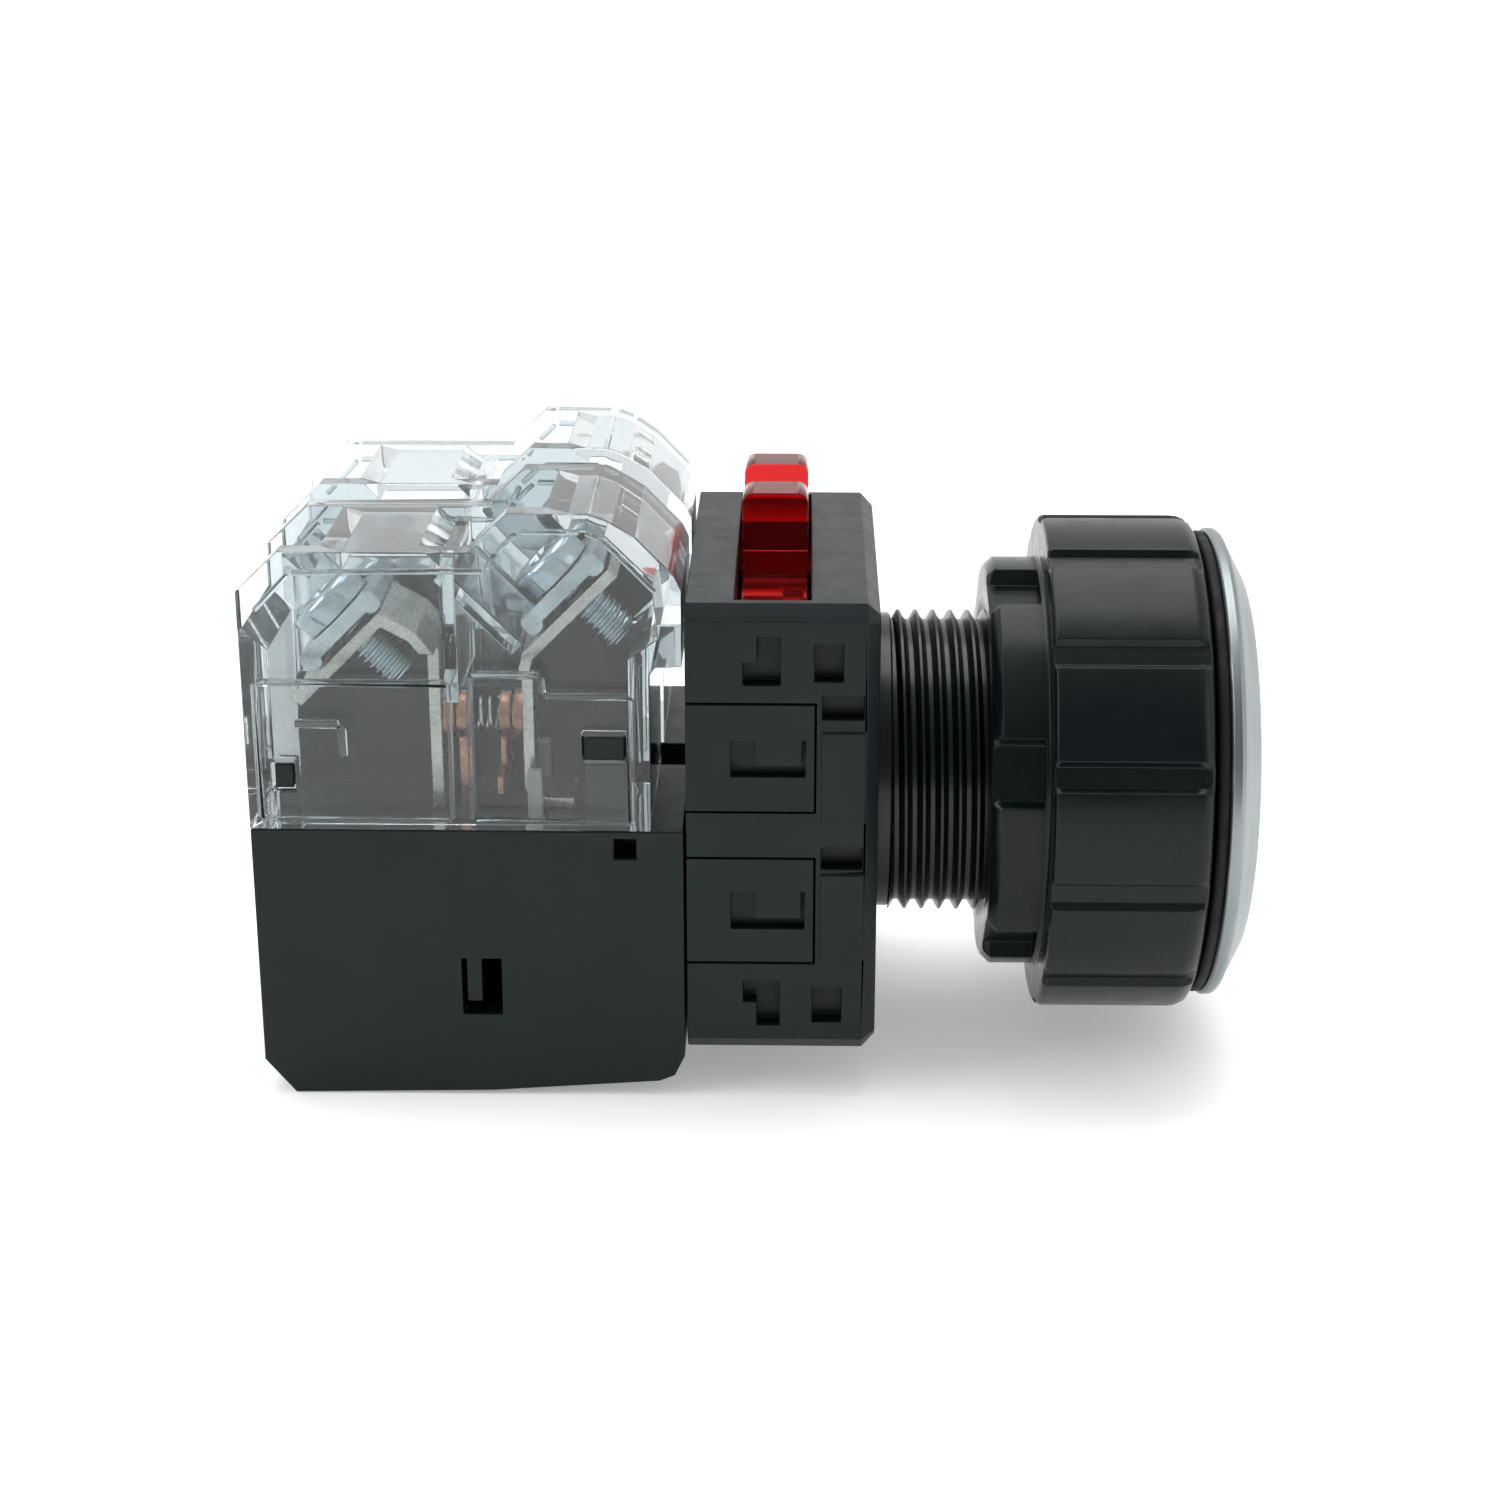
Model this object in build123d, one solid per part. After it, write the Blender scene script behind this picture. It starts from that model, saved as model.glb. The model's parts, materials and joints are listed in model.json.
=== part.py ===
from build123d import *
import math
import os

# Panel-mount push-button control switch, 25 mm class, all sizes in mm.
# +X points out of the panel toward the operator, +Z is the terminal side.
# The origin is on the barrel axis, in the plane where the gasket meets the panel.

# ---- driving dimensions ----
barrel_r = 12.25          # crest radius of the threaded barrel
thread_pitch = 1.411      # 18 threads to the inch
thread_depth = 0.75
thread_end_x = -24.3      # the plain bayonet neck starts here
neck_r = 12.0
barrel_rear_x = -34.0
bore_r = 10.6             # inside of the barrel, room for the button
stroke = 3.0              # button travel

gasket_t = 0.9
gasket_r = 18.8
bezel_r = 19.0
bezel_front_x = 3.7
bezel_lip_r = 15.7
flange_r = 17.8
flange_front_x = 2.2

nut_front_x = -0.3
nut_collar_rear_x = -12.4
nut_rear_x = -16.8
nut_collar_r = 20.0
nut_boss_r = 16.6
nut_lobes = 13
nut_notches = 6
grip_angle_0 = 16.2       # first grip groove, degrees above the -Y direction
notch_angle_0 = 16.0

box_front_x = -25.55      # adapter box
box_rear_x = -40.2
box_half_y = 17.4
box_half_z = 18.2
box_bore_r = 15.5         # room for the lock ring
ring_r = 15.2
ring_in_r = 12.3
ring_x = (-36.3, -31.0)
grip_y = (1.3, 14.6)
grip_top_z = 22.0
grip_tab_t = 3.9
lock_swing = 43.0

unit_w = 15.0             # each contact unit across Y
unit_y = (-10.0, 10.0)    # the two unit centres
unit_rear_x = -73.5
unit_front_x = -40.4
cover_wall = 1.9
base_top_z = 0.3
base_wall = 1.8
strip_t = 0.9
strip_w = 8.6
leg_w = 4.4
tip_r = 2.05
tip_z = 7.35
rear_leg_x = -59.6
front_leg_x = -52.45
rear_seat = (-65.4, 14.1)     # where the rear screw axis meets its strip
front_seat = (-48.5, 17.1)
screw_r = 1.75
screw_head_r = 3.05
contact_travel = 1.2

# ---- clearances ----
running = 0.05            # sliding and turning fits, on the radius
snap = 0.15               # between moulded pieces of one body
tiny = 0.02               # contacts that rest on each other

os.makedirs("parts", exist_ok=True)


# ---- helpers ----
def save(name, shape):
    export_step(shape, f"parts/{name}.step")


def block(x, y, z):
    """Box from three (low, high) pairs."""
    centre = Pos((x[0] + x[1]) / 2, (y[0] + y[1]) / 2, (z[0] + z[1]) / 2)
    return centre * Box(x[1] - x[0], y[1] - y[0], z[1] - z[0])


def slab(points, y0, y1):
    """Solid with an X-Z outline, from y0 to y1."""
    wire = Polyline(*[(x, y0, z) for x, z in points], close=True)
    return extrude(make_face(wire), amount=y1 - y0, dir=(0, 1, 0))


def turned(points):
    """Solid of revolution about the X axis from (x, radius) points."""
    wire = Polyline(*[(x, 0, r) for x, r in points], close=True)
    return revolve(make_face(wire), Axis.X, 360)


def rod(x0, x1, r, y=0.0, z=0.0):
    """Cylinder along X."""
    return Pos((x0 + x1) / 2, y, z) * Rot(0, 90, 0) * Cylinder(r, abs(x1 - x0))


def about_x(shape, degrees):
    return Rot(degrees, 0, 0) * shape


def strip_outline(points, half):
    """Outline of a bent strip of even thickness, mitred at each bend."""
    left = []
    right = []
    for i, (x, z) in enumerate(points):
        dirs = []
        if i > 0:
            dirs.append((x - points[i - 1][0], z - points[i - 1][1]))
        if i < len(points) - 1:
            dirs.append((points[i + 1][0] - x, points[i + 1][1] - z))
        units = [(a / math.hypot(a, b), b / math.hypot(a, b)) for a, b in dirs]
        tx = sum(u[0] for u in units)
        tz = sum(u[1] for u in units)
        n = math.hypot(tx, tz)
        nx, nz = -tz / n, tx / n
        stretch = half / abs(nx * -units[0][1] + nz * units[0][0])
        left.append((x + nx * stretch, z + nz * stretch))
        right.append((x - nx * stretch, z - nz * stretch))
    return left + right[::-1]


def tilted(seat, y):
    """Frame at a screw seat: local Z leaves the strip toward the rear and up at 45 degrees."""
    return Pos(seat[0], y, seat[1]) * Rot(0, -45, 0)


def coil(x0, x1, mean_r, wire_r, turns, y=0.0, z=0.0):
    """Compression spring along X between two planes."""
    length = x1 - x0 - 2 * wire_r
    path = Helix(pitch=length / turns, height=length, radius=mean_r)
    section = Plane(origin=path @ 0, z_dir=path % 0) * Circle(wire_r)
    spring = sweep(section, path=path, is_frenet=True)
    return Pos(x0 + wire_r, y, z) * Rot(0, 90, 0) * spring


# ---- operator: barrel, bezel, gasket, nut ----
def thread_profile():
    points = [(thread_end_x, neck_r), (thread_end_x, barrel_r - thread_depth)]
    x = thread_end_x
    while x + thread_pitch < -0.6:
        points.append((x + 0.10 * thread_pitch, barrel_r - thread_depth))
        points.append((x + 0.44 * thread_pitch, barrel_r))
        points.append((x + 0.56 * thread_pitch, barrel_r))
        points.append((x + 0.90 * thread_pitch, barrel_r - thread_depth))
        x += thread_pitch
    points.append((x + 0.3, barrel_r - thread_depth))
    points.append((gasket_t, barrel_r - thread_depth))
    return points


groove_x = (-33.1, -31.3)         # bayonet groove round the neck
body_points = thread_profile() + [
    (gasket_t, flange_r),
    (flange_front_x, flange_r),
    (flange_front_x, bore_r),
    (-22.0, bore_r),
    (-22.0, 4.35),
    (-24.0, 4.35),
    (-24.0, 9.4),
    (barrel_rear_x, 9.4),
    (barrel_rear_x, neck_r),
    (groove_x[0], neck_r),
    (groove_x[0], 11.0),
    (groove_x[1], 11.0),
    (groove_x[1], neck_r),
]
operator_body = turned(body_points)
# entry slots for the three bayonet lugs, one unlocking swing away from the locked lugs
for k in range(3):
    entry = block((barrel_rear_x - 1, groove_x[0] + 0.1), (-1.9, 1.9), (11.0, 12.6))
    operator_body -= about_x(entry, 120 * k + lock_swing)
# flat key way under the thread that stops the barrel turning in the panel
operator_body -= block((-24.2, -0.9), (-1.6, 1.6), (-12.6, -11.4))
save("operator_body", operator_body)

bezel_points = [
    (gasket_t, flange_r + running),
    (gasket_t, bezel_r - 0.25),
    (gasket_t + 0.25, bezel_r),
    (1.75, bezel_r),
    (2.0, bezel_r - 0.22),
    (3.45, bezel_lip_r + 0.3),
    (bezel_front_x, bezel_lip_r - 0.1),
    (bezel_front_x, bore_r + 1.0),
    (bezel_front_x - 0.4, bore_r + 0.1),
    (flange_front_x + tiny, bore_r + 0.1),
    (flange_front_x + tiny, flange_r + running),
]
save("bezel_ring", turned(bezel_points))

gasket_points = [
    (0.0, barrel_r + 0.1),
    (0.0, gasket_r - 0.15),
    (0.15, gasket_r),
    (gasket_t - 0.15, gasket_r),
    (gasket_t, gasket_r - 0.15),
    (gasket_t, barrel_r + 0.1),
]
save("panel_gasket", turned(gasket_points))

nut_points = [
    (nut_front_x, barrel_r + 0.1),
    (nut_front_x, nut_collar_r - 1.0),
    (nut_front_x - 0.3, nut_collar_r - 0.4),
    (nut_front_x - 1.0, nut_collar_r),
    (nut_collar_rear_x + 0.4, nut_collar_r),
    (nut_collar_rear_x, nut_collar_r - 0.4),
    (nut_collar_rear_x, nut_boss_r),
    (nut_rear_x + 0.75, nut_boss_r),
    (nut_rear_x, nut_boss_r - 0.8),
    (nut_rear_x, barrel_r + 0.9),
    (nut_rear_x + 0.8, barrel_r + 0.1),
]
ring_nut = turned(nut_points)
for k in range(nut_lobes):
    angle = grip_angle_0 + 360.0 * k / nut_lobes
    groove = rod(nut_collar_rear_x - 1, nut_front_x + 1, 1.5, y=-nut_collar_r - 0.55)
    ring_nut -= about_x(groove, -angle)
for k in range(nut_notches):
    angle = notch_angle_0 + 360.0 * k / nut_notches
    notch = block((nut_rear_x - 1, nut_collar_rear_x - 0.4), (-18.0, -15.2), (-2.6, 2.6))
    ring_nut -= about_x(notch, -angle)
save("ring_nut", ring_nut)

# ---- button, its stem and its spring ----
cap_r = bore_r - running - 0.25
cap_points = [
    (3.3, 0.0),
    (3.3, cap_r - 0.8),
    (2.9, cap_r),
    (-4.2, cap_r),
    (-4.2, cap_r - 1.5),
    (1.7, cap_r - 1.5),
    (1.7, 0.0),
]
save("button_cap", turned(cap_points))

stem_points = [
    (1.7 - tiny, 0.0),
    (1.7 - tiny, 6.2),
    (0.4, 6.2),
    (0.4, 4.0),
    (-25.7, 4.0),
    (-25.7, 0.0),
]
stem = turned(stem_points)
stem -= block((-27, -12), (-1.1, 1.1), (2.6, 5.0))
save("button_stem", stem)

save("return_spring", coil(-21.9, 0.3, 5.6, 0.45, 7))

seal_points = [
    (-5.0, bore_r - tiny),
    (-5.0, cap_r - 0.9),
    (-6.4, cap_r - 0.9),
    (-6.4, 8.4),
    (-7.2, 8.4),
    (-7.2, bore_r - tiny),
]
save("button_stop_ring", turned([(x - stroke + 0.4, r) for x, r in seal_points]))

# ---- adapter: front moulding, rear moulding, lock ring, pusher ----
finger_z = ((1.85, 10.69), (-10.63, -1.76))
finger_front_x = -30.3


def adapter_front():
    shell = block((box_rear_x, box_front_x), (-box_half_y, box_half_y), (-box_half_z, box_half_z))
    shell = chamfer(shell.edges().filter_by(Axis.X), 1.15)
    shell = chamfer(shell.faces().sort_by(Axis.X)[-1].edges(), 1.0)
    shell -= rod(box_rear_x - 1, -29.0, box_bore_r)
    shell -= rod(-30.0, box_front_x + 1, neck_r + 0.3)
    # swing slot of the lock grip, deeper on the side that the grip swings down to
    shell -= block((ring_x[0] - 0.25, ring_x[1] + 0.25), (-15.5, 15.5), (14.0, 19.0))
    shell -= block((ring_x[0] - 0.25, ring_x[1] + 0.25), (-15.5, 0.0), (11.4, 19.0))
    for side in (-1, 1):
        outer = side * box_half_y
        # spaces for the two fingers of the rear moulding
        for z0, z1 in finger_z:
            y = sorted((outer + side, side * 11.0))
            shell -= block((box_rear_x - 1, finger_front_x), y, (z0, z1))
        # hook windows, each with a shelf left standing at its floor
        skin = sorted((outer + side, outer - side * 1.4))
        shell -= block((-35.85, -33.0), skin, (12.1, 15.9))
        shell -= block((-35.85, -33.0), skin, (-15.9, -12.1))
        shell -= block((-30.5, -28.3), skin, (12.4, 15.4))
        shell -= block((-30.5, -28.2), skin, (-15.6, -12.6))
        shell -= block((-29.9, -26.7), skin, (9.4, 11.3))
        shell -= block((-29.9, -26.7), skin, (-2.7, -0.9))
        tongue = sorted((outer, outer - side * 1.5))
        shell += block((-35.9, -34.8), tongue, (13.9, 16.0))
        shell += block((-35.9, -34.8), tongue, (-16.0, -13.9))
        # raised pads in front of the fingers
        pad = sorted((outer - side * 0.5, outer + side * 0.25))
        shell += block((-29.9, -26.6), pad, (1.2, 8.4))
        shell += block((-29.9, -26.6), pad, (-10.2, -3.1))
    # cored corners that lighten the moulding
    for y in (-13.6, 13.6):
        for z in (-14.2, 14.2):
            shell -= rod(box_rear_x - 1, -38.0, 1.6, y=y, z=z)
    return shell


save("adapter_front", adapter_front())

plunger_dy = 1.5
plunger_z = (-5.2, -2.4)
pusher_r = 11.2


def adapter_rear():
    ring = rod(box_rear_x, -36.6, box_bore_r - snap)
    for side in (-1, 1):
        for z0, z1 in finger_z:
            root = sorted((side * box_half_y, side * 11.2))
            ring += block((box_rear_x, -36.6), root, (z0 + snap, z1 - snap))
            finger = sorted((side * box_half_y, side * 15.7))
            ring += block((-36.8, finger_front_x - snap), finger, (z0 + snap, z1 - snap))
    ring -= rod(-39.5, -36.0, pusher_r + 0.4)
    for y in unit_y:
        window_y = (y - plunger_dy - 0.15, y + plunger_dy + 0.15)
        ring -= block((-41, -36), window_y, (plunger_z[0] - 0.15, plunger_z[1] + 0.15))
    for side in (-1, 1):
        # hook pockets on the finger faces
        skin = sorted((side * (box_half_y + 1), side * (box_half_y - 1.0)))
        for z0, z1 in ((4.8, 7.7), (-7.7, -4.6)):
            ring -= block((-36.8, -31.1), skin, (z0, z1))
            lip = sorted((side * box_half_y, side * (box_half_y - 1.1)))
            ring += block((-34.9, -31.4), lip, (z0 + 0.9, z1 + 0.01))
    return ring


save("adapter_rear", adapter_rear())


def lock_ring():
    ring = rod(ring_x[0], ring_x[1], ring_r)
    ring -= rod(ring_x[0] - 1, ring_x[1] + 1, ring_in_r)
    grip = block(ring_x, grip_y, (14.4, grip_top_z))
    gap = (grip_y[0] + grip_tab_t, grip_y[1] - grip_tab_t)
    grip -= block((ring_x[0] - 1, ring_x[1] + 1), gap, (18.8, grip_top_z + 1))
    top = grip.edges().filter_by(Axis.Y).group_by(Axis.Z)[-1]
    grip = fillet(top, 0.9)
    grip -= rod(ring_x[0] - 1, ring_x[1] + 1, ring_in_r + 0.6)
    ring += grip
    # three bayonet lugs that ride in the groove round the neck
    for k in range(3):
        lug = block((groove_x[0] + 0.15, groove_x[1] - 0.15), (-1.7, 1.7), (11.15, 12.6))
        ring += about_x(lug, 120 * k)
    return ring


save("lock_ring", lock_ring())

pusher = rod(-36.2, -34.6, pusher_r) + rod(-34.7, -26.0, 3.6)
for k in range(4):
    pusher -= about_x(block((-37, -34), (-2.2, 2.2), (5.4, 8.6)), 45 + 90 * k)
save("pusher_plate", pusher)

# ---- contact units ----
cover_outline = [
    (unit_rear_x, base_top_z + tiny),
    (unit_rear_x, 19.2),
    (-70.3, 22.3),
    (-56.0, 22.3),
    (-55.6, 23.1),
    (-53.2, 25.3),
    (-47.2, 25.3),
    (-46.0, 24.9),
    (-43.8, 23.6),
    (-40.9, 20.6),
    (unit_front_x, 19.5),
    (unit_front_x, 13.5),
    (-42.4, 13.4),
    (-42.8, 12.9),
    (-42.8, base_top_z + tiny),
]
cover_room = [
    (-71.7, -1.0),
    (-71.7, 18.4),
    (-69.6, 20.6),
    (-55.0, 20.6),
    (-54.4, 21.8),
    (-52.6, 23.6),
    (-47.5, 23.6),
    (-46.2, 23.0),
    (-42.6, 19.3),
    (-42.2, 15.2),
    (-44.5, 13.6),
    (-44.5, -1.0),
]
hook_spots = ((-48.1, -44.6, 5.8, 8.0), (-71.6, -69.8, 3.4, 5.7))


def unit_cover(y):
    low = y - unit_w / 2
    high = y + unit_w / 2
    cover = slab(cover_outline, low, high)
    cover -= slab(cover_room, low + cover_wall, high - cover_wall)
    # open ways for the wire and the screwdriver along each screw axis
    room_y = unit_w - 2 * cover_wall
    for seat in (rear_seat, front_seat):
        way = tilted(seat, y) * Pos(0, 0, 9.0) * Box(8.8, room_y, 12.0)
        cover -= way
    # central divider above the contacts, and the guide wall under the front way
    inner = (low + cover_wall - 0.1, high - cover_wall + 0.1)
    cover += block((-58.4, -57.4), inner, (10.2, 21.5))
    guide = tilted(front_seat, y) * Pos(-4.95, 0, 5.2) * Box(1.0, room_y + 0.2, 8.0)
    cover += guide
    # snap windows for the base hooks
    for x0, x1, z0, z1 in hook_spots:
        for side in (low, high):
            wall = (side - cover_wall - 0.1, side + cover_wall + 0.1)
            cover -= block((x0, x1), wall, (z0, z1))
    return cover


base_outline = [
    (unit_rear_x, base_top_z),
    (unit_rear_x, -19.2),
    (-71.2, -22.0),
    (-55.0, -21.7),
    (-42.4, -20.8),
    (-41.2, -20.3),
    (unit_front_x, -18.6),
    (unit_front_x, base_top_z),
]
base_room = [
    (-71.7, -1.5),
    (-71.7, -18.6),
    (-70.4, -20.1),
    (-55.0, -19.8),
    (-42.8, -18.9),
    (-42.2, -18.0),
    (-42.2, -1.5),
]


core_outline = [
    (-71.5, -1.0),
    (-71.5, 8.9),
    (-69.5, 9.1),
    (-63.2, 15.4),
    (-61.1, 14.3),
    (-60.2, 12.9),
    (-59.4, 8.0),
    (-53.2, 8.0),
    (-52.2, 12.6),
    (-45.2, 19.5),
    (-44.6, 19.9),
    (-43.2, 19.0),
    (-42.7, 15.7),
    (-44.7, 13.9),
    (-44.7, -1.0),
]


def unit_base(y):
    low = y - unit_w / 2
    high = y + unit_w / 2
    base = slab(base_outline, low, high)
    base -= slab(base_room, low + base_wall, high - base_wall)
    # upright insulating wall behind the terminals
    base += slab(core_outline, y + strip_w / 2 + 0.2, high - cover_wall - 0.1)
    # U-slots that free a spring tongue in each side wall
    for side in (low, high):
        wall = (side - 2.2, side + 2.2)
        base -= block((-57.7, -57.3), wall, (-15.1, -10.4))
        base -= block((-56.15, -54.6), wall, (-15.1, -10.4))
        base -= block((-57.7, -54.6), wall, (-15.1, -14.0))
        base -= block((-45.7, -44.0), wall, (-1.95, -0.3))
    # ways for the plunger and its two fingers
    plunger_room = (plunger_z[0] - 0.15, plunger_z[1] + 0.15)
    window = (y - plunger_dy - 0.15, y + plunger_dy + 0.15)
    base -= block((-43, unit_front_x + 1), window, plunger_room)
    for side in (-1, 1):
        finger = sorted((y + side * 2.75, y + side * 4.35))
        base -= block((-55.7, -51.0), finger, (-3, 1))
    # guide rails under the plunger
    rail_y = (y - plunger_dy - 0.4, y + plunger_dy + 0.4)
    for x in (-60.0, -46.0):
        base += block((x - 0.8, x + 0.8), rail_y, (-20.6, plunger_z[0] - 0.1))
    # snap hooks that hold the cover
    for x0, x1, z0, z1 in hook_spots:
        for side in (-1, 1):
            face = y + side * unit_w / 2
            arm = sorted((face - side * (cover_wall + 0.1), face - side * (cover_wall + 1.2)))
            base += block((x0 + 0.2, x1 - 0.2), arm, (0.0, z1 - 0.2))
            hook = sorted((face - side * 0.4, face - side * (cover_wall + 0.6)))
            base += block((x0 + 0.2, x1 - 0.2), hook, (z0 + 0.15, z1 - 0.2))
    # spring post on the rear wall
    base += rod(-71.9, -69.8, 1.0, y=y, z=sum(plunger_z) / 2)
    return base


def rear_strip(y):
    seat_x, seat_z = rear_seat
    path = [
        (seat_x - 4.45, seat_z - 4.45),
        (seat_x + 2.1, seat_z + 2.1),
        (-60.9, 14.9),
        (rear_leg_x, 13.2),
        (rear_leg_x, base_top_z + tiny),
    ]
    outline = strip_outline(path, strip_t / 2)
    strip = slab(outline, y - strip_w / 2, y + strip_w / 2)
    for side in (-1, 1):
        trim = sorted((y + side * leg_w / 2, y + side * 6))
        strip -= block((-62.5, -57), trim, (-1, 13.5))
    strip -= tilted(rear_seat, y) * Cylinder(screw_r + running, 4)
    return strip


def front_strip(y):
    seat_x, seat_z = front_seat
    path = [
        (seat_x + 2.9, seat_z + 2.9),
        (seat_x - 3.7, seat_z - 3.7),
        (front_leg_x, 12.4),
        (front_leg_x, 2.0),
        (-52.0, 1.1),
        (-51.2, base_top_z + tiny + strip_t / 2),
        (-49.0, base_top_z + tiny + strip_t / 2),
    ]
    outline = strip_outline(path, strip_t / 2)
    strip = slab(outline, y - strip_w / 2, y + strip_w / 2)
    for side in (-1, 1):
        trim = sorted((y + side * leg_w / 2, y + side * 6))
        strip -= block((-55, -48), trim, (-1, 11.8))
    strip -= tilted(front_seat, y) * Cylinder(screw_r + running, 4)
    return strip


def screw(seat, y):
    """Pan head screw with a cross recess, backed off so a wire can enter."""
    shank = Pos(0, 0, -1.0) * Cylinder(screw_r, 6.6)
    tip = Pos(0, 0, -4.5) * Cone(screw_r - 0.5, screw_r, 0.4)
    head = Pos(0, 0, 3.3) * Cylinder(screw_head_r, 2.0)
    head = fillet(head.edges().group_by(Axis.Z)[-1], 0.7)
    recess = Pos(0, 0, 4.0) * Box(3.4, 0.9, 1.6) + Pos(0, 0, 4.0) * Box(0.9, 3.4, 1.6)
    return tilted(seat, y) * (shank + tip + head - recess)


def clamp(seat, y):
    """Saddle plate under the screw head, with a rolled lip at each end."""
    plate = Pos(0, 0, 1.65) * Box(6.4, 7.4, 1.2)
    for end in (-3.3, 3.3):
        lip = Pos(end, 0, 1.4) * Box(1.5, 7.4, 1.7)
        plate += fillet(lip.edges().filter_by(Axis.Y), 0.6)
    plate -= Cylinder(screw_r + 0.1, 8)
    return tilted(seat, y) * plate


rear_tip_x = (rear_leg_x + strip_t / 2, rear_leg_x + strip_t / 2 + 1.05)
front_tip_x = (front_leg_x - strip_t / 2 - 1.0, front_leg_x - strip_t / 2)
rear_head_x = (rear_tip_x[1] + tiny, rear_tip_x[1] + tiny + 0.85)
front_head_x = (front_tip_x[0] - tiny - 0.85, front_tip_x[0] - tiny)
finger_rear_x = front_head_x[1] - 0.4 + (stroke - contact_travel) + 0.05


def moving_head(y):
    head = rod(front_head_x[0], front_head_x[1], 1.85, y=y, z=tip_z)
    tail_x = (front_head_x[0], front_head_x[1] - 0.4)
    head += block(tail_x, (y - 1.1, y + 1.1), (2.2, tip_z))
    head += block(tail_x, (y - 4.1, y + 4.1), (2.2, 3.6))
    return head


def still_head(y):
    head = rod(rear_head_x[0], rear_head_x[1], 1.85, y=y, z=tip_z)
    foot_x = (rear_head_x[0] + 0.1, rear_head_x[1])
    head += block(foot_x, (y - 1.1, y + 1.1), (base_top_z + tiny, tip_z))
    return head


def plunger(y):
    bar = block((-62.0, -36.5), (y - plunger_dy, y + plunger_dy), plunger_z)
    bar += block((-53.2, -50.4), (y - 4.1, y + 4.1), plunger_z)
    for side in (-1, 1):
        finger = sorted((y + side * 3.0, y + side * 4.1))
        bar += block((finger_rear_x, finger_rear_x + 1.1), finger, (plunger_z[1] - 0.5, 4.0))
    bar += rod(-63.2, -61.9, 1.0, y=y, z=sum(plunger_z) / 2)
    return bar


for name, y in (("near", unit_y[0]), ("far", unit_y[1])):
    save(f"unit_cover_{name}", unit_cover(y))
    save(f"unit_base_{name}", unit_base(y))
    save(f"rear_terminal_{name}", rear_strip(y))
    save(f"front_terminal_{name}", front_strip(y))
    save(f"rear_screw_{name}", screw(rear_seat, y))
    save(f"front_screw_{name}", screw(front_seat, y))
    save(f"rear_clamp_{name}", clamp(rear_seat, y))
    save(f"front_clamp_{name}", clamp(front_seat, y))
    save(f"rear_tip_{name}", rod(rear_tip_x[0], rear_tip_x[1], tip_r, y=y, z=tip_z))
    save(f"front_tip_{name}", rod(front_tip_x[0], front_tip_x[1], tip_r, y=y, z=tip_z))
    save(f"still_contact_{name}", still_head(y))
    save(f"moving_contact_{name}", moving_head(y))
    save(f"contact_spring_{name}", coil(rear_head_x[1], front_head_x[0], 1.3, 0.16, 3, y, tip_z))
    save(f"plunger_{name}", plunger(y))
    save(f"plunger_spring_{name}", coil(-71.6, -62.1, 1.45, 0.2, 7, y, sum(plunger_z) / 2))
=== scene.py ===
# %% [markdown]
# # A panel push-button switch
# This lesson dresses an exact CAD model of a control switch in Blender. The CAD parts arrive as a
# fixed frame: their places are final. Each visible moulding, ring, screw and spring is then made
# again with softer edges, threads and surface detail, in exactly the place that the CAD gives it.

# %% Load the frame
import json
import math

import bmesh
import bpy
from mathutils import Matrix, Vector


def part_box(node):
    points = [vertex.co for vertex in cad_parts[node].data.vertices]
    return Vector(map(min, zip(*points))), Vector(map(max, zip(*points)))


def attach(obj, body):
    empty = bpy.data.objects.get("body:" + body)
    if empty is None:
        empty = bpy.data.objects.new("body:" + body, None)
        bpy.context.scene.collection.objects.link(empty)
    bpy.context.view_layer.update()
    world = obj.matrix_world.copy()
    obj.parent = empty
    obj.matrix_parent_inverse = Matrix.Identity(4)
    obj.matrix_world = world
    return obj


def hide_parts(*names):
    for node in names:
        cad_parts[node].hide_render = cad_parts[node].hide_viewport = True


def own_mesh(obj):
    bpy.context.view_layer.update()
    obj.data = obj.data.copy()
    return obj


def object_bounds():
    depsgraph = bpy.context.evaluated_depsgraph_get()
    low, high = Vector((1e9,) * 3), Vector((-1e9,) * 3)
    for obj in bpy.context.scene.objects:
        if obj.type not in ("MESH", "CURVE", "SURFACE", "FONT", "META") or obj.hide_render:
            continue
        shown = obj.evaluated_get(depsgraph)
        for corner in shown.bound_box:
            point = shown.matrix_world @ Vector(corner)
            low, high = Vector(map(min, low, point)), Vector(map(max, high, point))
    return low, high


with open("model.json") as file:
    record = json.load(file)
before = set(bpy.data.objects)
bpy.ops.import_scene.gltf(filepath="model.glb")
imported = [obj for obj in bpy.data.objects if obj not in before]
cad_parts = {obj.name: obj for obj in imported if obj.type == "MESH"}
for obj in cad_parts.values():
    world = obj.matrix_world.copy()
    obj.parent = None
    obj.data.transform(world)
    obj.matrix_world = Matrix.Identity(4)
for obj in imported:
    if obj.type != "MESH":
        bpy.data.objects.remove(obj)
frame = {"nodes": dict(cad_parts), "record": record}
cad_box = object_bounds()
nodes = frame["nodes"]
record = frame["record"]
MM = 0.001
body_of = {n: b for b, members in record["behaviour"]["bodies"].items() for n in members}
slot_of = {s["node"]: s["material_slot"] for s in record["subparts"]}


def box_mm(node):
    """Lowest and highest corner of a CAD node, in millimetres."""
    low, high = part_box(node)
    return low / MM, high / MM


print(len(nodes), "CAD nodes in", [[round(v / MM, 1) for v in corner] for corner in cad_box])

# %% [markdown]
# ## The camera
# A camera with a moderately long lens stands about 23 cm away, 20 degrees above the button's axis,
# looking across the switch with the button at the right and the terminals on top. The long side of
# the switch is then seen square on, and the rings at the front are seen as slim ellipses.

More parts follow.
